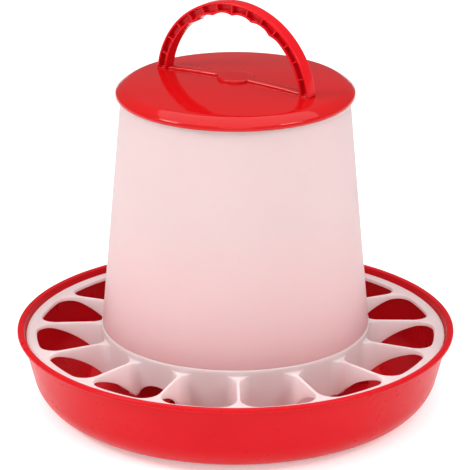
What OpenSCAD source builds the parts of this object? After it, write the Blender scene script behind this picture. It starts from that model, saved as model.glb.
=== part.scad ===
// Hanging hopper feeder for poultry: trough, anti-waste grill, feed tube, lid and handle.
// +Z is up, the origin is on the ground under the middle of the trough, and the handle lies along X.

/* [Overall] */
// Number of spokes in the anti-waste grill
spoke_count = 15; // [12:3:18]
// Turn of the first spoke from +X, degrees
spoke_phase = -7; // [-12:1:12]

/* [Trough] */
// Outer diameter of the trough's lip
pan_d = 370; // [366:1:374]
// Height of the trough's lip above the ground
pan_h = 67; // [65:1:70]
// Wall thickness of the trough
pan_wall = 2.2; // [1.8:0.1:2.6]
// Height of the small feet
foot_h = 2; // [1:0.5:3]
// Height of the feed cone in the middle
cone_h = 95; // [80:1:110]
// Height of the ledge under the feed gap
ledge_h = 20; // [16:1:24]

/* [Grill] */
// Outer diameter of the grill's ring
ring_d = 354.6; // [352:0.2:355]
// Width of the ring
ring_w = 8.8; // [7:0.2:11]
// Height of the ring's top face above the ground
ring_h = 62.5; // [60:0.5:64]
// Outer diameter of the collar that holds the feed tube
collar_d = 227; // [225:1:229]
// Height of the collar's top edge above the ground
collar_h = 71; // [69:1:75]
// Height of the collar's lower edge above the ground
collar_low = 35.3; // [34:0.1:37]
// Thickness of a spoke's web
web_t = 2.4; // [2:0.2:4]
// Corner radius of a feeding window next to the collar
pocket_inner_r = 10; // [8:0.5:11]
// Corner radius of a feeding window next to the ring
pocket_outer_r = 14.5; // [10:0.5:16]

/* [Feed tube] */
// Outer diameter of the feed tube just above the collar
tube_base_d = 225.4; // [224:0.2:226]
// Outer diameter of the feed tube at its top
tube_top_d = 190; // [186:1:191]
// Height of the feed tube's rim above the ground
tube_h = 275.6; // [273:0.2:276]
// Wall thickness of the feed tube
tube_wall = 2; // [1.6:0.1:2.4]

/* [Lid] */
// Largest diameter of the lid
lid_d = 199.4; // [198:0.2:202]
// Height of the lid's lower edge above the ground
lid_h = 271.5; // [270:0.5:272]
// Wall thickness of the lid
lid_wall = 2; // [1.6:0.1:2.2]
// Diameter of the round boss in the middle of the lid
boss_d = 30; // [24:1:36]

/* [Handle] */
// Outer radius of the handle's arch
arch_r = 75.6; // [73:0.2:78]
// Thickness of the arch, across its outer and inner flanges
arch_t = 8.8; // [8:0.2:10]
// Width of the handle's flanges
handle_w = 12; // [10:0.5:14]
// Number of cross ribs on each side of the arch
rib_count = 15; // [9:1:21]

/* [Hidden] */

// Fineness of round faces
$fn = 96;
// Overlap that makes joined shapes one solid
eps = 0.4;
// Clearance between pieces that turn or lift on each other
gap = 0.3;

// Trough
pan_r = pan_d / 2;
lip_w = 4.2;
lip_t = 3;
// Slope of the trough's wall from the vertical
wall_lean = 14.7;
// Radius of the flat floor and of the bowl-shaped corner that joins it to the wall
floor_r = 139;
bowl_r = 33.4;
bowl_z = foot_h + bowl_r;
wall_top_r = pan_r - lip_w;
wall_top_z = pan_h - lip_t;
// Ledge ring that carries the three posts, and the foot of the slope outside it
ledge_in_r = 99;
ledge_out_r = 125;
slope_foot_r = 133;
foot_count = 6;
foot_w = 6;
foot_r = floor_r - foot_w;
foot_arc = 6;

// Grill
pitch = 360 / spoke_count;
collar_r = collar_d / 2;
collar_wall = 2;
ring_r = ring_d / 2;
ring_in_r = ring_r - ring_w;
ring_t = 2.5;
shelf_h = ring_h + 3;
plate_t = 2.5;
half_web = web_t / 2;
// Arc under each spoke, from the ring down to the collar's lower edge
sweep_r = 70;
sweep_top = ring_h - 3;
sweep_end = acos((collar_low - sweep_top + sweep_r) / sweep_r);
leg_wall = 1.6;
// Arched opening in the collar in front of each post
opening_r = 24;
opening_top = 48.4;
opening_out_r = collar_r + 4.5;

// Three posts of the trough carry the collar, each in front of an opening
post_count = 3;
post_phase = spoke_phase + 1.5 * pitch;
post_arc = 9;
post_out_r = collar_r + 1;
post_h = collar_low - gap;

// Bayonet: three tabs inside the collar turn under three hooks beside the posts
hook_turn = 16;
hook_arc = 9;
hook_in_r = 101.5;
hook_wall_r = 105.4;
hook_out_r = collar_r - collar_wall - 2 * gap;
hook_top = collar_low + 9.1;
hook_head_t = 3;
stop_arc = 1.4;
tab_arc = 8;
tab_in_r = 106;
tab_z = collar_low + 3;
tab_t = 2.7;

// Feed tube
tube_base_r = tube_base_d / 2;
tube_top_r = tube_top_d / 2;
spigot_r = collar_r - collar_wall - gap;
spigot_low = 52;
shoulder_z = collar_h + 0.2;
bead_w = 1.2;
bead_t = 2.6;

// Lid
lid_r = lid_d / 2;
dome_r = lid_r - 11.2;
dome_z = lid_h + 9.8;
dome_rise = 4.2;
skirt_low = lid_h - 9.5;
skirt_out_r = tube_top_r - tube_wall - 0.7;
skirt_t = 1.8;
bar_w = 8;
bar_rise = 2.5;
slot_l = 10;
slot_w = 8;

// Handle
crown_h = 351;
arch_z = crown_h - arch_r;
arch_in_r = arch_r - arch_t;
flange_t = 1.9;
handle_web_t = 2.4;
rib_t = 1.4;
leg_cut_z = dome_z + 1.9;
tongue_l = 6;
tongue_w = 6.8;
tongue_low = dome_z - 7;
tongue_x = sqrt(pow(arch_r - arch_t / 2, 2) - pow(dome_z - arch_z, 2));
barb_l = 2.2;
barb_h = 3;
finger_count = 4;
finger_pitch = 17;
finger_bump_r = 4;
finger_bump_out = 1.6;

// Points of an arc round [cx, cy], from angle a0 to a1, in n steps
function arc(cx, cy, r, a0, a1, n) =
    [for (i = [0:n]) let (a = a0 + (a1 - a0) * i / n) [cx + r * cos(a), cy + r * sin(a)]];

// A point of a polar ray
function polar(r, a) = [r * cos(a), r * sin(a)];

// Copies of the children, one on each spoke
module on_spokes(offset_turns = 0) {
    for (i = [0:spoke_count - 1])
        rotate([0, 0, spoke_phase + (i + offset_turns) * pitch])
            children();
}

// Copies of the children, one at each post and turned on from it by an angle
module on_posts(turn = 0) {
    for (i = [0:post_count - 1])
        rotate([0, 0, post_phase + turn + i * 360 / post_count])
            children();
}

// A block of a ring, centred on +X
module ring_block(r_in, r_out, z, h, angle) {
    rotate([0, 0, -angle / 2])
        rotate_extrude(angle = angle)
            translate([r_in, z])
                square([r_out - r_in, h]);
}

// ---------------------------------------------------------------- Trough

module pan_section() {
    w = pan_wall;
    inner_lean = w / cos(wall_lean);
    polygon(concat(
        [[0, cone_h - w], [ledge_in_r, ledge_h - w], [ledge_out_r - w, ledge_h - w],
         [slope_foot_r - w, foot_h]],
        arc(floor_r, bowl_z, bowl_r, -90, -wall_lean, 10),
        [[wall_top_r, wall_top_z], [pan_r - 0.8, wall_top_z], [pan_r, wall_top_z + 0.8],
         [pan_r, pan_h - 1], [pan_r - 1, pan_h], [wall_top_r - inner_lean + 1, pan_h]],
        arc(floor_r, bowl_z, bowl_r - w, -wall_lean, -90, 10),
        [[slope_foot_r, foot_h + w], [ledge_out_r, ledge_h], [ledge_in_r, ledge_h], [0, cone_h]]
    ));
}

// Hook that holds a tab of the grill down, with a stop at one end
module pan_hook() {
    ring_block(hook_in_r, hook_wall_r, ledge_h - eps, hook_top - ledge_h + eps, hook_arc);
    ring_block(hook_in_r, hook_out_r, hook_top - hook_head_t, hook_head_t, hook_arc);
    rotate([0, 0, -hook_arc / 2 - stop_arc / 2])
        ring_block(hook_in_r, hook_out_r, ledge_h - eps, hook_top - ledge_h + eps, stop_arc + 0.2);
}

module pan() {
    color([0.86, 0.12, 0.14])
    union() {
        rotate_extrude()
            pan_section();
        for (i = [0:foot_count - 1])
            rotate([0, 0, i * 360 / foot_count])
                ring_block(foot_r, floor_r, 0, foot_h + eps, foot_arc);
        on_posts()
            ring_block(hook_in_r, post_out_r, ledge_h - eps, post_h - ledge_h + eps, post_arc);
        on_posts(hook_turn)
            pan_hook();
    }
}

// ---------------------------------------------------------------- Grill

// Outline of one feeding window, with its lower side along a spoke that lies on +X
function window_side() =
    let (
        in_c = [sqrt(pow(collar_r + pocket_inner_r, 2) - pow(half_web + pocket_inner_r, 2)),
                half_web + pocket_inner_r],
        out_c = [sqrt(pow(ring_in_r - pocket_outer_r, 2) - pow(half_web + pocket_outer_r, 2)),
                 half_web + pocket_outer_r],
        in_a = atan2(in_c[1], in_c[0]),
        out_a = atan2(out_c[1], out_c[0])
    )
    concat(
        [polar(collar_r - 1, in_a)],
        arc(in_c[0], in_c[1], pocket_inner_r, 180 + in_a, 270, 6),
        arc(out_c[0], out_c[1], pocket_outer_r, -90, out_a, 6)
    );

// The same side seen from the next spoke, in reverse order
function mirrored_side() =
    let (side = window_side(), n = len(side))
    [for (i = [n - 1:-1:0]) let (p = side[i])
        [p[0] * cos(pitch) + p[1] * sin(pitch), p[0] * sin(pitch) - p[1] * cos(pitch)]];

module window_shape() {
    side = window_side();
    end = side[len(side) - 1];
    end_a = atan2(end[1], end[0]);
    start_a = atan2(side[0][1], side[0][0]);
    polygon(concat(
        side,
        [for (i = [1:4]) polar(ring_in_r, end_a + (pitch - 2 * end_a) * i / 5)],
        mirrored_side(),
        [for (i = [1:3]) polar(collar_r - 1, pitch - start_a - (pitch - 2 * start_a) * i / 4)]
    ));
}

// Hollow of one leg, on +X, between the inner corners of two feeding windows
module leg_core_shape() {
    c_x = sqrt(pow(collar_r + pocket_inner_r, 2) - pow(half_web + pocket_inner_r, 2));
    c_y = half_web + pocket_inner_r;
    r = pocket_inner_r + leg_wall;
    a0 = 180 + acos((c_x - collar_r + 1) / r);
    a1 = 180 + asin((c_y - 0.3) / r);
    near_side = arc(c_x, c_y, r, a0, a1, 5);
    polygon(concat(
        near_side,
        [for (i = [len(near_side) - 1:-1:0]) [near_side[i][0], -near_side[i][1]]]
    ));
}

// Section of the ring, spokes and legs before the windows are cut
module spoke_section() {
    polygon(concat(
        [[collar_r - 1, collar_low]],
        [for (i = [0:8]) let (t = sweep_end * (1 - i / 8))
            [ring_in_r - sweep_r * sin(t), sweep_top - sweep_r + sweep_r * cos(t)]],
        [[ring_in_r + 2.5, ring_h - ring_t], [ring_r - 0.4, ring_h - ring_t],
         [ring_r, ring_h - ring_t + 0.4], [ring_r, ring_h - 0.6], [ring_r - 0.6, ring_h],
         [ring_in_r, ring_h], [collar_r - 1, shelf_h]]
    ));
}

// Arched opening through the collar in front of a post, on +X
module post_opening() {
    translate([collar_r - 10, 0, opening_top - opening_r])
        rotate([0, 90, 0])
            cylinder(h = opening_out_r - collar_r + 10, r = opening_r);
}

module grill() {
    color([0.97, 0.91, 0.91])
    difference() {
        union() {
            difference() {
                rotate_extrude()
                    spoke_section();
                on_spokes()
                    translate([0, 0, collar_low - 5])
                        linear_extrude(collar_h - collar_low + 10)
                            window_shape();
                on_spokes()
                    translate([0, 0, collar_low - 5])
                        linear_extrude(ring_h - plate_t + 3 - collar_low + 5)
                            leg_core_shape();
            }
            rotate_extrude()
                translate([collar_r - collar_wall, collar_low])
                    square([collar_wall, collar_h - collar_low]);
            on_posts(hook_turn)
                ring_block(tab_in_r, collar_r - 1, tab_z, tab_t, tab_arc);
        }
        on_posts()
            post_opening();
    }
}

// ---------------------------------------------------------------- Feed tube

module hopper() {
    inner_foot_r = spigot_r - tube_wall;
    color([0.93, 0.86, 0.86, 0.9])
    rotate_extrude()
        polygon([
            [inner_foot_r, spigot_low],
            [spigot_r - 0.5, spigot_low],
            [spigot_r, spigot_low + 1],
            [spigot_r, shoulder_z],
            [tube_base_r, shoulder_z],
            [tube_top_r, tube_h - bead_t],
            [tube_top_r + bead_w - 0.4, tube_h - bead_t],
            [tube_top_r + bead_w, tube_h - bead_t + 0.4],
            [tube_top_r + bead_w, tube_h - 0.6],
            [tube_top_r + bead_w - 0.6, tube_h],
            [tube_top_r - tube_wall, tube_h],
            [tube_base_r - tube_wall, shoulder_z + 6],
            [inner_foot_r, shoulder_z]
        ]);
}

// ---------------------------------------------------------------- Lid

// Height of the dome's outer face at radius r
function dome(r) = dome_z + dome_rise * (1 - pow(r / dome_r, 2));

module lid_section() {
    steps = 10;
    polygon(concat(
        [[0, dome(0) - lid_wall]],
        [for (i = [1:steps]) let (r = (skirt_out_r - skirt_t) * i / steps)
            [r, min(dome(r), dome(dome_r)) - lid_wall + (r < dome_r ? dome(r) - dome(dome_r) : 0)]],
        [[skirt_out_r - skirt_t, skirt_low], [skirt_out_r - 0.5, skirt_low],
         [skirt_out_r, skirt_low + 1], [skirt_out_r, lid_h + 5.9],
         [lid_r - 3.8, lid_h + 4.7], [lid_r - 2.4, lid_h + 3], [lid_r - 2.2, lid_h],
         [lid_r - 0.8, lid_h], [lid_r, lid_h + 1.2], [lid_r, lid_h + 2.7],
         [lid_r - 0.8, lid_h + 4.3], [lid_r - 2.5, lid_h + 5.7], [lid_r - 4.1, lid_h + 6.8],
         [lid_r - 5.3, lid_h + 7.7], [lid_r - 7.1, lid_h + 8.7]],
        [for (i = [steps:-1:0]) let (r = dome_r * i / steps) [r, dome(r)]]
    ));
}

// Slot for one foot of the handle, on +X
module handle_slot() {
    translate([tongue_x - slot_l / 2 + 0.5, -slot_w / 2, dome_z - 5])
        cube([slot_l, slot_w, 12]);
}

module lid() {
    bar_l = 2 * (tongue_x - slot_l / 2 - 0.5);
    bar_low = dome(bar_l / 2) - 1;
    color([0.88, 0.13, 0.14])
    difference() {
        union() {
            rotate_extrude()
                lid_section();
            translate([-bar_l / 2, -bar_w / 2, bar_low])
                cube([bar_l, bar_w, dome(0) + bar_rise - bar_low]);
            translate([0, 0, bar_low])
                cylinder(h = dome(0) + bar_rise - bar_low, d = boss_d);
        }
        for (side = [0, 180])
            rotate([0, 0, side])
                handle_slot();
    }
}

// ---------------------------------------------------------------- Handle

// Section of the arch, across its two flanges and its web
module arch_section() {
    translate([arch_r - flange_t, -handle_w / 2])
        square([flange_t, handle_w]);
    translate([arch_in_r, -handle_w / 2])
        square([flange_t, handle_w]);
    translate([arch_in_r + 0.5, -handle_web_t / 2])
        square([arch_t - 1, handle_web_t]);
}

// Half of a ring in the plane of X and Z
module half_ring(angle) {
    translate([0, 0, arch_z])
        rotate([90, 0, 0])
            rotate_extrude(angle = angle)
                children();
}

// Foot of the handle on +X: a tongue through the slot, with a barb under the lid
module handle_foot() {
    translate([tongue_x - tongue_l / 2, -tongue_w / 2, tongue_low])
        cube([tongue_l, tongue_w, leg_cut_z - tongue_low + 2]);
    translate([tongue_x + tongue_l / 2 - eps, -tongue_w / 2, dome_z - lid_wall - barb_h - 0.6])
        cube([barb_l + eps, tongue_w, barb_h]);
}

module handle() {
    color([0.85, 0.09, 0.11])
    union() {
        difference() {
            union() {
                half_ring(180)
                    arch_section();
                // Cross ribs between the flanges
                for (i = [0:rib_count - 1])
                    translate([0, 0, arch_z])
                        rotate([0, -180 * (i + 0.5) / rib_count, 0])
                            translate([arch_in_r + 0.5, -handle_w / 2 + 0.5, -rib_t / 2])
                                cube([arch_t - 1, handle_w - 1, rib_t]);
                // Bumps between the finger recesses
                for (i = [0:finger_count])
                    let (a = 90 + (i - finger_count / 2) * finger_pitch)
                        translate([0, 0, arch_z])
                            rotate([0, -a, 0])
                                translate([arch_in_r + finger_bump_r - finger_bump_out, 0, 0])
                                    rotate([90, 0, 0])
                                        cylinder(h = handle_w, r = finger_bump_r, center = true);
            }
            translate([-pan_r, -pan_r, 0])
                cube([pan_d, pan_d, leg_cut_z]);
        }
        for (side = [0, 180])
            rotate([0, 0, side])
                handle_foot();
    }
}

pan();
grill();
hopper();
lid();
handle();
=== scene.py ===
"""Hanging hopper feeder for poultry: red trough, white anti-waste grill, translucent feed tube, red lid and handle."""
import math

import bmesh
import bpy
import numpy as np
from mathutils import Matrix, Vector


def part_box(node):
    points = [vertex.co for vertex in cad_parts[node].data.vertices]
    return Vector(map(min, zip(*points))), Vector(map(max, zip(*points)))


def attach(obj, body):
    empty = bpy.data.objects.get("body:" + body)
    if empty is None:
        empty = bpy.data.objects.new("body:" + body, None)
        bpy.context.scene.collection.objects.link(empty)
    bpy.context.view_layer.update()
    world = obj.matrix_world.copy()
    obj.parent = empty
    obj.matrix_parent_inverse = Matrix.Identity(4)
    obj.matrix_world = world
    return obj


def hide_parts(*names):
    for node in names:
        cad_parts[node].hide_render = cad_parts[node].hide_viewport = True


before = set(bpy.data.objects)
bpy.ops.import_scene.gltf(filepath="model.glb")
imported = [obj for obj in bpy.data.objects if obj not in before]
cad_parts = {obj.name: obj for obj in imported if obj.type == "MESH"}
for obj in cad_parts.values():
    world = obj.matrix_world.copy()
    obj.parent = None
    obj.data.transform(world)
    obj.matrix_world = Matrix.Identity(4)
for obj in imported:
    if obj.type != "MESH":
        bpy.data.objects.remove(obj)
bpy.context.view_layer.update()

MM = 0.001
TAU = 2 * math.pi

# ---------------------------------------------------------------- driving sizes, in millimetres


def node_size(name):
    """Reach along +X, lowest height and highest height of a CAD node, in millimetres."""
    low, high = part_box(name)
    return high.x / MM, low.z / MM, high.z / MM


PAN_R, _, CONE_H = node_size("pan")
_, LEG_LOW, COLLAR_H = node_size("grill")
_, SPIGOT_LOW, TUBE_H = node_size("hopper")
_, SKIRT_LOW, _ = node_size("lid")
_, TONGUE_LOW, CROWN_H = node_size("handle")

SPOKES = 15
SPOKE_PHASE = math.radians(-7)
PITCH = TAU / SPOKES

# Trough
PAN_H = 67
PAN_WALL = 2.2
FOOT_H = 2
FEET = 6
WALL_LEAN = math.radians(14.7)
FLOOR_R = 139
BOWL_R = 33.4
LEDGE_H = 20
LEDGE_IN_R, LEDGE_OUT_R, SLOPE_FOOT_R = 99, 125, 133
LIP_W = 4.2

# Grill
RING_R = 177.3
RING_IN_R = RING_R - 8.8
RING_H = 62.5
COLLAR_R = 113.5
COLLAR_WALL = 2
SHELF_H = RING_H + 3
HALF_WEB = 1.2
POCKET_IN, POCKET_OUT = 10, 14.5
SWEEP_R = 70
OPENING_R, OPENING_TOP = 24, 48.4
EDGE_R = 0.9

# Posts, hooks and tabs
HOOK_IN_R = 101.5
POST_HALF = math.radians(4.5)
TAB_HALF = math.radians(4)
HOOK_TURN = math.radians(16)

# Feed tube
TUBE_BASE_R, TUBE_TOP_R, TUBE_WALL = 112.7, 95, 2

# Lid
LID_R = 99.7
LID_H = 271.5
DOME_R = LID_R - 11.2
DOME_Z = LID_H + 9.8
DOME_RISE = 4.2

# Handle
ARCH_R = 75.6
ARCH_T = 8.8
ARCH_Z = CROWN_H - ARCH_R
HANDLE_W = 12
CROSS_RIBS = 15

# ---------------------------------------------------------------- mesh helpers


def new_object(name, vertices, faces, smooth_angle=38):
    """A mesh object from points in millimetres, smooth except at edges sharper than smooth_angle."""
    mesh = bpy.data.meshes.new(name)
    mesh.from_pydata([tuple(c * MM for c in v) for v in vertices], [], faces)
    mesh.validate()
    return finish_mesh(name, mesh, smooth_angle)


def finish_mesh(name, mesh, smooth_angle=38):
    mesh.polygons.foreach_set("use_smooth", [True] * len(mesh.polygons))
    mesh.set_sharp_from_angle(angle=math.radians(smooth_angle))
    obj = bpy.data.objects.new(name, mesh)
    bpy.context.scene.collection.objects.link(obj)
    return obj


def arc(cx, cy, r, a0, a1, n):
    """Points of an arc from angle a0 to a1, in radians."""
    return [(cx + r * math.cos(a0 + (a1 - a0) * i / n), cy + r * math.sin(a0 + (a1 - a0) * i / n))
            for i in range(n + 1)]


def rounded(points, steps=5):
    """A closed outline of (x, y, corner radius) points, with each corner rounded."""
    out = []
    n = len(points)
    for i, (x, y, r) in enumerate(points):
        if r <= 0:
            out.append((x, y))
            continue
        p = np.array((x, y), float)
        a = np.array(points[i - 1][:2], float) - p
        b = np.array(points[(i + 1) % n][:2], float) - p
        la, lb = np.linalg.norm(a), np.linalg.norm(b)
        a, b = a / la, b / lb
        half = math.acos(max(-1, min(1, float(a @ b)))) / 2
        if half > math.pi / 2 - 0.02:
            out.append((x, y))
            continue
        d = min(r / math.tan(half), 0.49 * la, 0.49 * lb)
        real_r = d * math.tan(half)
        centre = p + (a + b) / np.linalg.norm(a + b) * real_r / math.sin(half)
        start, end = p + a * d - centre, p + b * d - centre
        a0 = math.atan2(start[1], start[0])
        turn = math.atan2(start[0] * end[1] - start[1] * end[0], float(start @ end))
        out += arc(centre[0], centre[1], real_r, a0, a0 + turn, steps)
    return out


def lathe(name, outline, segments=256, smooth_angle=38):
    """A closed solid of revolution from a closed outline of (radius, height) points."""
    vertices, rings = [], []
    for r, z in outline:
        if r < 1e-6:
            rings.append([len(vertices)])
            vertices.append((0, 0, z))
        else:
            rings.append(list(range(len(vertices), len(vertices) + segments)))
            vertices += [(r * math.cos(TAU * k / segments), r * math.sin(TAU * k / segments), z)
                         for k in range(segments)]
    faces = []
    for lower, upper in zip(rings, rings[1:] + rings[:1]):
        for k in range(segments):
            m = (k + 1) % segments
            loop = [lower[k % len(lower)], lower[m % len(lower)], upper[m % len(upper)], upper[k % len(upper)]]
            loop = list(dict.fromkeys(loop))
            if len(loop) > 2:
                faces.append(loop)
    obj = new_object(name, vertices, faces, smooth_angle)
    fix_normals(obj)
    return obj


def fix_normals(obj):
    """Turns every face of a closed mesh outwards."""
    bm = bmesh.new()
    bm.from_mesh(obj.data)
    bmesh.ops.recalc_face_normals(bm, faces=bm.faces)
    bm.to_mesh(obj.data)
    bm.free()


def weld(obj, distance=1e-6):
    """Joins points that lie on each other, then turns the faces outwards."""
    bm = bmesh.new()
    bm.from_mesh(obj.data)
    bmesh.ops.remove_doubles(bm, verts=bm.verts, dist=distance)
    bmesh.ops.recalc_face_normals(bm, faces=bm.faces)
    bm.to_mesh(obj.data)
    bm.free()


def join(name, objects, smooth_angle=38):
    """One object holding the meshes of several, which are removed."""
    vertices, faces = [], []
    for o in objects:
        start = len(vertices)
        vertices += [tuple(c / MM for c in v.co) for v in o.data.vertices]
        faces += [[start + i for i in p.vertices] for p in o.data.polygons]
        bpy.data.objects.remove(o)
    return new_object(name, vertices, faces, smooth_angle)


def combine(obj, other, operation, smooth_angle=38):
    """obj with the closed solid other added to it or cut from it; other is removed."""
    modifier = obj.modifiers.new("combine", "BOOLEAN")
    modifier.operation = operation
    modifier.object = other
    modifier.solver = "MANIFOLD"
    bpy.context.view_layer.update()
    dg = bpy.context.evaluated_depsgraph_get()
    mesh = bpy.data.meshes.new_from_object(obj.evaluated_get(dg))
    name = obj.name
    bpy.data.objects.remove(obj)
    bpy.data.objects.remove(other)
    return finish_mesh(name, mesh, smooth_angle)


def block(name, low, high, edge, steps=3):
    """A box with rounded edges, as a rounded outline in X and Y lofted along Z."""
    (x0, y0, z0), (x1, y1, z1) = low, high
    layers = [(edge * (1 - math.sin(a)), z0 + edge * (1 - math.cos(a)))
              for a in (math.pi / 2 * i / steps for i in range(steps + 1))]
    layers += [(inset, z1 - (z - z0)) for inset, z in reversed(layers)]
    vertices, loops = [], []
    for inset, z in layers:
        r = max(edge - inset, 0.02)
        outline = rounded([(x0 + inset, y0 + inset, r), (x1 - inset, y0 + inset, r),
                           (x1 - inset, y1 - inset, r), (x0 + inset, y1 - inset, r)], steps)
        loops.append(list(range(len(vertices), len(vertices) + len(outline))))
        vertices += [(x, y, z) for x, y in outline]
    faces = [loops[0][::-1], loops[-1]]
    for a, b in zip(loops, loops[1:]):
        n = len(a)
        faces += [[a[k], a[(k + 1) % n], b[(k + 1) % n], b[k]] for k in range(n)]
    obj = new_object(name, vertices, faces)
    fix_normals(obj)
    return obj


def turn_points(obj, angle):
    """Turns an object's own points about Z, so that the object itself stays at the origin."""
    obj.data.transform(Matrix.Rotation(angle, 4, "Z"))
    return obj


# ---------------------------------------------------------------- trough


def ring_block(name, r_in, r_out, z0, z1, a0, a1, edge=0.5, steps=10):
    """A block of a ring between two angles, with rounded long edges."""
    outline = rounded([(r_in, z0, edge), (r_out, z0, edge), (r_out, z1, edge), (r_in, z1, edge)], 3)
    n = len(outline)
    vertices = []
    for i in range(steps + 1):
        a = a0 + (a1 - a0) * i / steps
        vertices += [(r * math.cos(a), r * math.sin(a), z) for r, z in outline]
    faces = [list(range(n))[::-1], [steps * n + k for k in range(n)]]
    for i in range(steps):
        faces += [[i * n + k, i * n + (k + 1) % n, (i + 1) * n + (k + 1) % n, (i + 1) * n + k] for k in range(n)]
    obj = new_object(name, vertices, faces)
    fix_normals(obj)
    return obj


def post_angles():
    """Angles of the three posts; each hook and tab stands HOOK_TURN further on."""
    return [SPOKE_PHASE + 1.5 * PITCH + TAU * i / 3 for i in range(3)]


def make_pan():
    w = PAN_WALL
    bowl_z = FOOT_H + BOWL_R
    wall_top_r = PAN_R - LIP_W
    lip_t = 3.4
    outer = [(r, z, 0) for r, z in arc(FLOOR_R, bowl_z, BOWL_R, -math.pi / 2, -WALL_LEAN, 24)]
    inner = [(r, z, 0) for r, z in arc(FLOOR_R, bowl_z, BOWL_R - w, -WALL_LEAN, -math.pi / 2, 24)]
    inner_top_r = wall_top_r - w / math.cos(WALL_LEAN) + 1
    outline = rounded(
        [(0, CONE_H - w, 0), (LEDGE_IN_R, LEDGE_H - w, 3), (LEDGE_OUT_R - w, LEDGE_H - w, 2),
         (SLOPE_FOOT_R - w, FOOT_H, 3)]
        + outer
        + [(wall_top_r, PAN_H - lip_t, 1.2), (PAN_R, PAN_H - lip_t, 1.3), (PAN_R, PAN_H, 1.6),
           (inner_top_r, PAN_H, 1.4)]
        + inner
        + [(SLOPE_FOOT_R, FOOT_H + w, 4), (LEDGE_OUT_R, LEDGE_H, 3), (LEDGE_IN_R, LEDGE_H, 3), (0, CONE_H, 0)])
    pan = lathe("pan_shell", outline, 288)
    extras = []
    half = math.radians(3)
    for i in range(FEET):
        a = TAU * i / FEET
        extras.append(ring_block("foot", FLOOR_R - 6, FLOOR_R, 0, FOOT_H + 0.5, a - half, a + half, 0.6))
    foot_z = LEDGE_H - 0.5
    post_top = LEG_LOW - 0.3
    hook_top = LEG_LOW + 9.1
    for a in post_angles():
        a0, a1 = a - POST_HALF, a + POST_HALF
        extras.append(ring_block("post", HOOK_IN_R, COLLAR_R + 1, foot_z, post_top, a0, a1, 0.6))
        a0, a1 = a0 + HOOK_TURN, a1 + HOOK_TURN
        # Each part stands in a little from the last, so that no two faces lie on each other
        wall = ring_block("hook", HOOK_IN_R, 105.4, foot_z, hook_top, a0, a1, 0.5)
        head = ring_block("head", HOOK_IN_R + 0.1, 110.9, hook_top - 3, hook_top - 0.01, a0 + 0.002, a1 - 0.002, 0.5)
        stop = ring_block("stop", HOOK_IN_R + 0.2, 110.8, foot_z, hook_top - 0.02, a0 - 0.024, a0 + 0.002, 0.4)
        extras.append(combine(combine(wall, head, "UNION"), stop, "UNION"))
    return combine(pan, join("extras", extras), "UNION")


# ---------------------------------------------------------------- grill


def pocket_side(n_in=14, n_line=10, n_out=16):
    """One side of a spoke that lies on +X: points, normals into the plastic, and a share of the full edge radius."""
    in_c = (math.sqrt((COLLAR_R + POCKET_IN) ** 2 - (HALF_WEB + POCKET_IN) ** 2), HALF_WEB + POCKET_IN)
    out_c = (math.sqrt((RING_IN_R - POCKET_OUT) ** 2 - (HALF_WEB + POCKET_OUT) ** 2), HALF_WEB + POCKET_OUT)
    in_a, out_a = math.atan2(in_c[1], in_c[0]), math.atan2(out_c[1], out_c[0])
    side = []
    for i in range(n_in + 1):
        a = math.pi + in_a + (1.5 * math.pi - math.pi - in_a) * i / n_in
        fade = min(1, i / n_in / 0.4)
        side.append((in_c[0] + POCKET_IN * math.cos(a), in_c[1] + POCKET_IN * math.sin(a),
                     math.cos(a), math.sin(a), fade * fade * (3 - 2 * fade)))
    for i in range(1, n_line):
        side.append((in_c[0] + (out_c[0] - in_c[0]) * i / n_line, HALF_WEB, 0, -1, 1))
    for i in range(n_out + 1):
        a = -math.pi / 2 + (out_a + math.pi / 2) * i / n_out
        side.append((out_c[0] + POCKET_OUT * math.cos(a), out_c[1] + POCKET_OUT * math.sin(a),
                     math.cos(a), math.sin(a), 1))
    return side, in_a, out_a


def shelf_top(r):
    """Height of the spokes' top face, with a soft fillet up to the collar."""
    fillet = 2.0
    z = RING_H + (SHELF_H - RING_H) * (RING_IN_R - min(r, RING_IN_R)) / (RING_IN_R - COLLAR_R)
    d = r - COLLAR_R
    if d < fillet:
        z += fillet - math.sqrt(max(0, fillet ** 2 - (fillet - d) ** 2))
    return z


def spoke_low(r):
    """Height of the spokes' lower edge: an arc from the ring down to the collar's lower edge."""
    d = max(0, RING_IN_R - r)
    return max(LEG_LOW, RING_H - 3 - SWEEP_R + math.sqrt(SWEEP_R ** 2 - d ** 2))


class Shell:
    """Collects faces from points and welds them where they meet."""

    def __init__(self):
        self.vertices, self.index, self.faces = [], {}, []

    def point(self, p):
        key = tuple(round(c, 4) for c in p)
        if key not in self.index:
            self.index[key] = len(self.vertices)
            self.vertices.append(key)
        return self.index[key]

    def face(self, *points):
        loop = list(dict.fromkeys(self.point(p) for p in points))
        if len(loop) > 2:
            self.faces.append(loop)

    def grid(self, rows):
        for a, b in zip(rows, rows[1:]):
            for k in range(len(a) - 1):
                self.face(a[k], a[k + 1], b[k + 1], b[k])


def turned(p, a):
    return (p[0] * math.cos(a) - p[1] * math.sin(a), p[0] * math.sin(a) + p[1] * math.cos(a), p[2])


def opening_bar():
    """A round bar along +X through the collar, which cuts the arched opening in front of a post."""
    n = 96
    r0, r1 = COLLAR_R - 10, COLLAR_R + 4.5
    points = [(OPENING_R * math.sin(TAU * k / n), OPENING_TOP - OPENING_R + OPENING_R * math.cos(TAU * k / n))
              for k in range(n)]
    vertices = [(r, y, z) for r in (r0, r1) for y, z in points]
    faces = [list(range(n)), [n + k for k in range(n)][::-1]]
    faces += [[k, n + k, n + (k + 1) % n, (k + 1) % n] for k in range(n)]
    obj = new_object("opening", vertices, faces)
    fix_normals(obj)
    return obj


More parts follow.
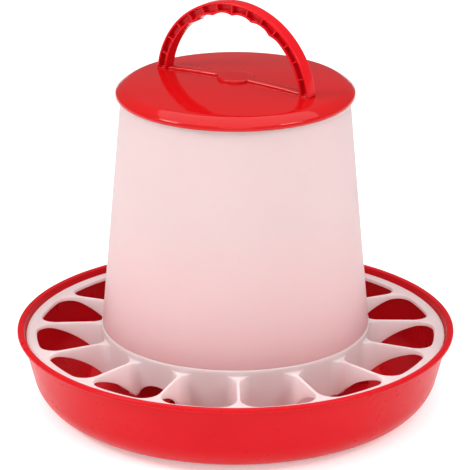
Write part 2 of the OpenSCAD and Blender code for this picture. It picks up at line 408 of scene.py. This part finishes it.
def make_grill():
    side, in_a, out_a = pocket_side()
    across, bevel = 8, 4
    shell = Shell()
    top_h = COLLAR_H
    inner_r = COLLAR_R - COLLAR_WALL
    crown = 0.6

    def edge_profile(x, y, nx, ny, share, z_top, z_low):
        """Points from the top face over the rounded edge and down the side of a spoke."""
        e = EDGE_R * share
        out = []
        for i in range(bevel + 1):
            a = math.pi / 2 * i / bevel
            inset = e * (1 - math.sin(a))
            out.append((x + nx * inset, y + ny * inset, z_top - e * (1 - math.cos(a))))
        out.append((x, y, z_low))
        return out

    def polar(r, a, z):
        return (r * math.cos(a), r * math.sin(a), z)

    for s in range(SPOKES):
        turn = SPOKE_PHASE + s * PITCH
        rows_top, rows_low, left_wall, right_wall = [], [], [], []
        for x, y, nx, ny, share in side:
            r = math.hypot(x, y)
            profile = edge_profile(x, y, nx, ny, share, shelf_top(r), spoke_low(r))
            head, foot = profile[0], profile[-1]
            rh, ah = math.hypot(head[0], head[1]), math.atan2(head[1], head[0])
            af = math.atan2(foot[1], foot[0])
            rows_top.append([turned(polar(rh, ah * (2 * k / across - 1), head[2]), turn) for k in range(across + 1)])
            rows_low.append([turned(polar(r, af * (2 * k / across - 1), foot[2]), turn) for k in range(across + 1)])
            right_wall.append([turned((p[0], -p[1], p[2]), turn) for p in profile])
            left_wall.append([turned(p, turn) for p in profile])
        shell.grid(rows_top)
        shell.grid(rows_low)
        shell.grid(left_wall)
        shell.grid(right_wall)

        # Ring, over the spoke and over the feeding window next to it
        window_n = 20
        angles = [out_a * (2 * k / across - 1) for k in range(across + 1)]
        window_angles = [out_a + (PITCH - 2 * out_a) * k / window_n for k in range(window_n + 1)]
        ring_top = rounded([(RING_IN_R, RING_H, 0), (RING_R, RING_H, 1.1), (RING_R, RING_H - 2.5, 0.5),
                            (RING_IN_R + 2.5, RING_H - 2.5, 0), (RING_IN_R, RING_H - 3, 0)])
        ring_path = [(RING_IN_R + EDGE_R, RING_H)] + ring_top[1:]
        for span, open_side in ((angles, False), (window_angles, True)):
            path = list(ring_path)
            if open_side:
                path += [(RING_IN_R + EDGE_R * (1 - math.sin(a)), RING_H - EDGE_R * (1 - math.cos(a)))
                         for a in (math.pi / 2 * i / bevel for i in range(bevel, -1, -1))]
            shell.grid([[turned(polar(r, a, z), turn) for a in span] for r, z in path])

        # Collar: outer face above the spoke, and the strip between this leg and the next
        rim = [(COLLAR_R, top_h - crown), (COLLAR_R - 0.2, top_h - 0.2), (COLLAR_R - crown, top_h),
               (inner_r + crown, top_h), (inner_r + 0.2, top_h - 0.2), (inner_r, top_h - crown)]
        leg_angles = [in_a * (2 * k / across - 1) for k in range(across + 1)]
        shell.grid([[turned(polar(r, a, z), turn) for a in leg_angles]
                    for r, z in [(COLLAR_R, shelf_top(COLLAR_R))] + rim + [(inner_r, LEG_LOW), (COLLAR_R, LEG_LOW)]])
        strip = [in_a + (PITCH - 2 * in_a) * k / 12 for k in range(13)]
        shell.grid([[turned(polar(r, a, z), turn) for a in strip]
                    for r, z in [(COLLAR_R, LEG_LOW), (COLLAR_R, shelf_top(COLLAR_R))] + rim
                    + [(inner_r, LEG_LOW), (COLLAR_R, LEG_LOW)]])
    grill = new_object("grill_moulding", shell.vertices, shell.faces, 50)
    weld(grill)
    openings, tabs = [], []
    for a in post_angles():
        openings.append(turn_points(opening_bar(), a))
        a += HOOK_TURN
        tabs.append(ring_block("tab", 106, COLLAR_R - 1, LEG_LOW + 3, LEG_LOW + 5.7, a - TAB_HALF, a + TAB_HALF, 0.4))
    grill = combine(grill, join("openings", openings), "DIFFERENCE", 50)
    return combine(grill, join("tabs", tabs), "UNION", 50)


# ---------------------------------------------------------------- feed tube


def make_hopper():
    spigot_r = COLLAR_R - COLLAR_WALL - 0.3
    foot_r = spigot_r - TUBE_WALL
    shoulder = COLLAR_H + 0.2
    rows = 12
    bead_low = TUBE_H - 2.6
    outside = [(TUBE_BASE_R + (TUBE_TOP_R - TUBE_BASE_R) * i / rows, shoulder + (bead_low - shoulder) * i / rows, 0)
               for i in range(1, rows)]
    outline = rounded(
        [(foot_r, SPIGOT_LOW, 0.5), (spigot_r, SPIGOT_LOW, 0.7), (spigot_r, shoulder, 0.3),
         (TUBE_BASE_R, shoulder, 0.6)]
        + outside
        + [(TUBE_TOP_R, bead_low, 0.4), (TUBE_TOP_R + 1.2, bead_low, 0.5), (TUBE_TOP_R + 1.2, TUBE_H, 0.9),
           (TUBE_TOP_R - TUBE_WALL, TUBE_H, 0.6),
           (TUBE_BASE_R - TUBE_WALL, shoulder + 6, 6), (foot_r, shoulder, 3)])
    return lathe("hopper_tube", outline, 256)


# ---------------------------------------------------------------- lid


def dome(r):
    return DOME_Z + DOME_RISE * (1 - (r / DOME_R) ** 2)


def tongue_x():
    return math.sqrt((ARCH_R - ARCH_T / 2) ** 2 - (DOME_Z - ARCH_Z) ** 2)


def make_lid():
    wall = 2
    rows = 30
    skirt_out = TUBE_TOP_R - TUBE_WALL - 0.7
    skirt_in = skirt_out - 1.8
    top = [(DOME_R * i / rows, dome(DOME_R * i / rows), 0) for i in range(rows, -1, -1)]
    under = [(skirt_in * i / rows, dome(skirt_in * i / rows) - wall, 0) for i in range(rows)]
    outline = rounded(
        under
        + [(skirt_in, dome(skirt_in) - wall, 0), (skirt_in, SKIRT_LOW, 0.5), (skirt_out, SKIRT_LOW, 0.7),
           (skirt_out, LID_H + 5.9, 0.5),
           (LID_R - 3.8, LID_H + 4.7, 2), (LID_R - 2.4, LID_H + 3, 1), (LID_R - 2.2, LID_H, 0.4),
           (LID_R - 0.5, LID_H, 0.8), (LID_R, LID_H + 1.8, 2), (LID_R - 0.4, LID_H + 3.9, 4),
           (LID_R - 2.8, LID_H + 6.0, 6), (LID_R - 5.2, LID_H + 7.6, 8), (LID_R - 8.2, LID_H + 9.2, 8)]
        + top, 8)
    lid = combine(lathe("lid_cover", outline, 288), raised_rib(), "UNION")
    slots = []
    for side in (1, -1):
        x = side * (tongue_x() + 0.5)
        low, high = (min(x - 5, x + 5), -4, DOME_Z - 5), (max(x - 5, x + 5), 4, DOME_Z + 7)
        slots.append(block("slot", low, high, 0.6))
    return combine(lid, join("slots", slots), "DIFFERENCE")


def raised_rib():
    """Rib across the lid from foot to foot, with a round boss in the middle."""
    bar_w, rise, boss_r = 8, 2.5, 15
    half_l = tongue_x() - 5.5
    edge = 1.7
    join_x = math.sqrt(boss_r ** 2 - (bar_w / 2) ** 2)
    join_a = math.atan2(bar_w / 2, join_x)
    # Upper outline from the left end to the right one: points, normals into the rib
    side = [(-half_l + (half_l - join_x) * i / 24, bar_w / 2, 0, -1) for i in range(24)]
    side += [(boss_r * math.cos(a), boss_r * math.sin(a), -math.cos(a), -math.sin(a))
             for a in (math.pi - join_a - (math.pi - 2 * join_a) * i / 28 for i in range(29))]
    side += [(join_x + (half_l - join_x) * i / 24, bar_w / 2, 0, -1) for i in range(1, 25)]
    shell = Shell()
    across, bevel = 8, 5
    low = dome(half_l) - 1
    top_rows, low_rows, walls = [], [], []
    for x, y, nx, ny in side:
        profile = []
        for i in range(bevel + 1):
            a = math.pi / 2 * i / bevel
            inset = edge * (1 - math.sin(a))
            px, py = x + nx * inset, y + ny * inset
            profile.append((px, py, dome(math.hypot(px, py)) + rise - edge * (1 - math.cos(a))))
        profile.append((x, y, low))
        walls.append(profile)
        hx, hy, _ = profile[0]
        top_rows.append([(hx, hy * (2 * k / across - 1), dome(math.hypot(hx, hy * (2 * k / across - 1))) + rise)
                         for k in range(across + 1)])
        low_rows.append([(x, y * (2 * k / across - 1), low) for k in range(across + 1)])
    shell.grid(top_rows)
    shell.grid(low_rows)
    shell.grid(walls)
    shell.grid([[(p[0], -p[1], p[2]) for p in row] for row in walls])
    for row, low_row, wall in ((top_rows[0], low_rows[0], walls[0]), (top_rows[-1], low_rows[-1], walls[-1])):
        loop = [(p[0], -p[1], p[2]) for p in wall[::-1]][1:] + row[1:-1] + wall[:-1] + low_row[::-1]
        shell.face(*loop)
    rib = new_object("rib", shell.vertices, shell.faces)
    weld(rib)
    return rib


# ---------------------------------------------------------------- handle


def arch_sweep(name, section, n=160, a0=0.0, a1=math.pi):
    """A closed solid swept round the arch; section(angle) gives its outline as (radius, depth) points."""
    vertices, count = [], 0
    for i in range(n + 1):
        a = a0 + (a1 - a0) * i / n
        outline = section(a)
        count = len(outline)
        vertices += [(r * math.cos(a), y, ARCH_Z + r * math.sin(a)) for r, y in outline]
    faces = [list(range(count))[::-1], [n * count + k for k in range(count)]]
    for i in range(n):
        faces += [[i * count + k, i * count + (k + 1) % count, (i + 1) * count + (k + 1) % count,
                   (i + 1) * count + k] for k in range(count)]
    obj = new_object(name, vertices, faces)
    fix_normals(obj)
    return obj


def finger_bump(a):
    """How far the inner flange stands in at angle a, between four finger recesses."""
    pitch, fingers, depth = math.radians(17), 4, 1.9
    u = (a - math.pi / 2) / pitch + fingers / 2
    if u < -0.5 or u > fingers + 0.5:
        return 0
    if u < 0 or u > fingers:
        d = -u if u < 0 else u - fingers
        return depth * (1 - math.sin(math.pi * d))
    return depth * (1 - math.sin(math.pi * (u % 1))) ** 1.2


def make_handle():
    half = HANDLE_W / 2
    flange, web, edge = 1.9, 1.2, 0.55
    low_a = math.asin((DOME_Z + 1.3 - ARCH_Z) / ARCH_R)

    def outer(a):
        return rounded([(ARCH_R - flange, -half, edge), (ARCH_R, -half, edge * 1.5), (ARCH_R, half, edge * 1.5),
                        (ARCH_R - flange, half, edge)], 3)

    def inner(a):
        r = ARCH_R - ARCH_T - finger_bump(a)
        return rounded([(r, -half, edge * 1.2), (r + flange, -half, edge), (r + flange, half, edge),
                        (r, half, edge * 1.2)], 3)

    def middle(a):
        return [(ARCH_R - ARCH_T - finger_bump(a) + 0.5, -web), (ARCH_R - 0.5, -web), (ARCH_R - 0.5, web),
                (ARCH_R - ARCH_T - finger_bump(a) + 0.5, web)]

    a1 = math.pi - low_a
    handle = arch_sweep("handle_arch", outer, 180, low_a, a1)
    handle = combine(handle, arch_sweep("inner", inner, 240, low_a, a1), "UNION")
    handle = combine(handle, arch_sweep("web", middle, 120, low_a + 0.01, a1 - 0.01), "UNION")
    ribs = []
    for i in range(CROSS_RIBS):
        a = math.pi * (i + 0.5) / CROSS_RIBS
        r0 = ARCH_R - ARCH_T - finger_bump(a) + 0.6
        rib = block("rib", (r0, -half + 0.6, -0.7), (ARCH_R - 0.6, half - 0.6, 0.7), 0.3, 2)
        rib.data.transform(Matrix.Translation((0, 0, ARCH_Z * MM)) @ Matrix.Rotation(-a, 4, "Y"))
        ribs.append(rib)
    handle = combine(handle, join("ribs", ribs), "UNION")
    feet = []
    for side in (1, -1):
        x = side * tongue_x()
        feet.append(block("tongue", (x - 3, -3.4, TONGUE_LOW), (x + 3, 3.4, DOME_Z + 4), 0.5))
        bx = sorted((x + side * 2.4, x + side * 5.2))
        feet.append(block("barb", (bx[0], -3.3, DOME_Z - 5.6), (bx[1], 3.3, DOME_Z - 2.6), 0.4))
        pad = block("pad", (ARCH_R - ARCH_T + 0.3, -half + 0.4, -0.2), (ARCH_R - 0.3, half - 0.4, 2.0), 0.4)
        if side < 0:
            pad.data.transform(Matrix.Scale(-1, 4, (1, 0, 0)))
            fix_normals(pad)
        pad.data.transform(Matrix.Translation((0, 0, (ARCH_Z + ARCH_R * math.sin(low_a)) * MM - 0.0006)))
        feet.append(pad)
    for f in feet:
        handle = combine(handle, f, "UNION")
    return handle


# ---------------------------------------------------------------- materials


def material(name, build):
    m = bpy.data.materials.new(name)
    m.use_nodes = True
    m.node_tree.nodes.clear()
    build(m.node_tree)
    return m


def link(tree, a, a_socket, b, b_socket):
    tree.links.new(a.outputs[a_socket], b.inputs[b_socket])


def noise(tree, scale, detail=2.0, roughness=0.5):
    coords = tree.nodes.new("ShaderNodeTexCoord")
    n = tree.nodes.new("ShaderNodeTexNoise")
    n.inputs["Scale"].default_value = scale
    n.inputs["Detail"].default_value = detail
    n.inputs["Roughness"].default_value = roughness
    link(tree, coords, "Object", n, "Vector")
    return n


def ramp(tree, source, socket, stops):
    r = tree.nodes.new("ShaderNodeValToRGB")
    r.color_ramp.elements[0].position, r.color_ramp.elements[0].color = stops[0]
    r.color_ramp.elements[1].position, r.color_ramp.elements[1].color = stops[-1]
    for position, colour in stops[1:-1]:
        e = r.color_ramp.elements.new(position)
        e.color = colour
    link(tree, source, socket, r, "Fac")
    return r


def grey(v):
    return (v, v, v, 1)


def red_plastic(colour, deep, roughness, specular, bump):
    """Moulded red plastic: faint mottling of the pigment, uneven gloss and a soft skin."""
    def build(tree):
        out = tree.nodes.new("ShaderNodeOutputMaterial")
        shader = tree.nodes.new("ShaderNodeBsdfPrincipled")
        link(tree, shader, "BSDF", out, "Surface")
        shader.inputs["IOR"].default_value = 1.5
        shader.inputs["Specular IOR Level"].default_value = specular
        mottle = noise(tree, 22, 4, 0.55)
        tint = ramp(tree, mottle, "Fac", [(0.3, (*deep, 1)), (0.7, (*colour, 1))])
        link(tree, tint, "Color", shader, "Base Color")
        haze = noise(tree, 60, 5, 0.6)
        gloss = ramp(tree, haze, "Fac", [(0.3, grey(roughness * 0.85)), (0.75, grey(roughness * 1.25))])
        link(tree, gloss, "Color", shader, "Roughness")
        skin = noise(tree, 160, 2, 0.5)
        bump_node = tree.nodes.new("ShaderNodeBump")
        bump_node.inputs["Strength"].default_value = bump
        bump_node.inputs["Distance"].default_value = 0.0002
        link(tree, skin, "Fac", bump_node, "Height")
        link(tree, bump_node, "Normal", shader, "Normal")
    return build


def milky_plastic(colour, bounce_painted_colour, z_low, z_high, through, share, depth, roughness):
    """White translucent plastic with painted red bounce light: its colour turns pinker towards its lower end, standing
    in for red light thrown up from the trough; light scatters in it and goes through.
    """
    def build(tree):
        out = tree.nodes.new("ShaderNodeOutputMaterial")
        shader = tree.nodes.new("ShaderNodeBsdfPrincipled")
        shader.inputs["IOR"].default_value = 1.5
        shader.inputs["Specular IOR Level"].default_value = 0.5
        coords = tree.nodes.new("ShaderNodeTexCoord")
        split = tree.nodes.new("ShaderNodeSeparateXYZ")
        link(tree, coords, "Object", split, "Vector")
        height = tree.nodes.new("ShaderNodeMapRange")
        height.inputs["From Min"].default_value = z_low * MM
        height.inputs["From Max"].default_value = z_high * MM
        link(tree, split, "Z", height, "Value")
        # Painted red bounce light: the colour runs from the pinker bounce colour at z_low to the plain colour at
        # z_high.
        tint = ramp(tree, height, "Result", [(0.0, (*bounce_painted_colour, 1)), (1.0, (*colour, 1))])
        mottle = noise(tree, 14, 3, 0.5)
        cloud = ramp(tree, mottle, "Fac", [(0.3, grey(0.975)), (0.7, grey(1.0))])
        shade = tree.nodes.new("ShaderNodeMix")
        shade.data_type = "RGBA"
        shade.blend_type = "MULTIPLY"
        shade.inputs["Factor"].default_value = 1.0
        tree.links.new(tint.outputs["Color"], shade.inputs[6])
        tree.links.new(cloud.outputs["Color"], shade.inputs[7])
        tree.links.new(shade.outputs[2], shader.inputs["Base Color"])
        shader.inputs["Subsurface Weight"].default_value = 0.6
        shader.inputs["Subsurface Radius"].default_value = (1.0, 0.7, 0.7)
        shader.inputs["Subsurface Scale"].default_value = depth
        haze = noise(tree, 30, 2, 0.5)
        gloss = ramp(tree, haze, "Fac", [(0.2, grey(roughness * 0.94)), (0.8, grey(roughness * 1.06))])
        link(tree, gloss, "Color", shader, "Roughness")
        glow = tree.nodes.new("ShaderNodeBsdfTranslucent")
        glow.inputs["Color"].default_value = (*through, 1)
        mix = tree.nodes.new("ShaderNodeMixShader")
        mix.inputs["Fac"].default_value = share
        link(tree, shader, "BSDF", mix, 1)
        link(tree, glow, "BSDF", mix, 2)
        link(tree, mix, "Shader", out, "Surface")
    return build


PIECES = (
    ("pan", make_pan, "pan", red_plastic((0.51, 0.005, 0.010), (0.49, 0.004, 0.008), 0.30, 0.09, 0.05)),
    # The second colour of each white piece is painted red bounce light from the trough, pinker at its lower end.
    ("grill", make_grill, "tower",
     milky_plastic((0.99, 0.94, 0.94), (0.99, 0.84, 0.85), 35, 66, (0.99, 0.84, 0.84), 0.5, 0.008, 0.30)),
    ("hopper", make_hopper, "tower",
     milky_plastic((0.77, 0.62, 0.62), (0.90, 0.57, 0.58), 70, 190, (0.96, 0.82, 0.82), 0.38, 0.004, 0.38)),
    ("lid", make_lid, "lid", red_plastic((0.47, 0.004, 0.005), (0.45, 0.003, 0.004), 0.08, 0.26, 0.05)),
    ("handle", make_handle, "lid", red_plastic((0.58, 0.005, 0.010), (0.55, 0.004, 0.008), 0.20, 0.15, 0.05)),
)
SLOTS = {"pan": "pan_red", "grill": "grill_white", "hopper": "hopper_white", "lid": "lid_red", "handle": "handle_red"}

for node, make, body, finish in PIECES:
    piece = make()
    piece.data.materials.clear()
    piece.data.materials.append(material(SLOTS[node], finish))
    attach(piece, body)
    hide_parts(node)

# ---------------------------------------------------------------- floor, light and camera


VIEW_AZ = 34


def direction(azimuth, elevation):
    a, e = math.radians(azimuth), math.radians(elevation)
    return Vector((math.sin(a) * math.cos(e), -math.cos(a) * math.cos(e), math.sin(e)))


def make_floor():
    size = 30
    floor = new_object("floor", [(x * size / MM, y * size / MM, 0) for x, y in ((-1, -1), (1, -1), (1, 1), (-1, 1))],
                       [[0, 1, 2, 3]])

    def build(tree):
        out = tree.nodes.new("ShaderNodeOutputMaterial")
        shader = tree.nodes.new("ShaderNodeBsdfPrincipled")
        shader.inputs["Base Color"].default_value = (0.90, 0.90, 0.90, 1)
        shader.inputs["Emission Color"].default_value = (1, 1, 1, 1)
        shader.inputs["Emission Strength"].default_value = 0.35
        shader.inputs["Roughness"].default_value = 0.6
        link(tree, shader, "BSDF", out, "Surface")
    floor.data.materials.append(material("floor_white", build))


def make_world(low, high):
    """Plain studio surroundings, brightest above the front and darkest low down behind the object."""
    world = bpy.data.worlds.new("studio")
    bpy.context.scene.world = world
    world.use_nodes = True
    tree = world.node_tree
    coords = tree.nodes.new("ShaderNodeTexCoord")
    along = tree.nodes.new("ShaderNodeVectorMath")
    along.operation = "DOT_PRODUCT"
    along.inputs[1].default_value = direction(VIEW_AZ, 40)
    link(tree, coords, "Generated", along, 0)
    bright = tree.nodes.new("ShaderNodeMapRange")
    bright.inputs["From Min"].default_value = -0.5
    bright.inputs["From Max"].default_value = 0.6
    link(tree, along, "Value", bright, "Value")
    shade = ramp(tree, bright, "Result", [(0.0, grey(low)), (1.0, grey(high))])
    link(tree, shade, "Color", tree.nodes["Background"], "Color")
    tree.nodes["Background"].inputs["Strength"].default_value = 1.0


def softbox(name, place, target, width, height, power):
    light = bpy.data.lights.new(name, "AREA")
    light.shape = "RECTANGLE"
    light.size, light.size_y = width, height
    light.energy = power
    obj = bpy.data.objects.new(name, light)
    obj.location = place
    obj.rotation_euler = (Vector(target) - Vector(place)).to_track_quat("-Z", "Y").to_euler()
    bpy.context.scene.collection.objects.link(obj)


def make_camera():
    distance, elevation, aim_z, lens = 2.7, 20.14, 0.1476, 246.0
    camera = bpy.data.objects.new("camera", bpy.data.cameras.new("camera"))
    camera.data.lens = lens
    camera.data.sensor_width = 36
    camera.data.shift_x = -0.0009
    back = direction(VIEW_AZ, elevation)
    camera.location = Vector((0, 0, aim_z)) + back * distance
    camera.rotation_euler = (-back).to_track_quat("-Z", "Y").to_euler()
    camera.data.clip_end = 100
    bpy.context.scene.collection.objects.link(camera)
    bpy.context.scene.camera = camera


make_floor()
make_world(0.22, 0.6)
centre = (0, 0, 0.17)
softbox("key_left", direction(VIEW_AZ - 70, 36) * 1.6 + Vector(centre), centre, 0.5, 0.4, 12)
softbox("key_right", direction(VIEW_AZ + 57, 36) * 1.6 + Vector(centre), centre, 0.5, 0.4, 9)
softbox("front", direction(VIEW_AZ, 30) * 1.9, (0, 0, 0.05), 0.9, 0.3, 5)
softbox("top", (0, 0, 2.2), centre, 3.2, 3.2, 46)
make_camera()
bpy.context.scene.view_settings.view_transform = "Standard"
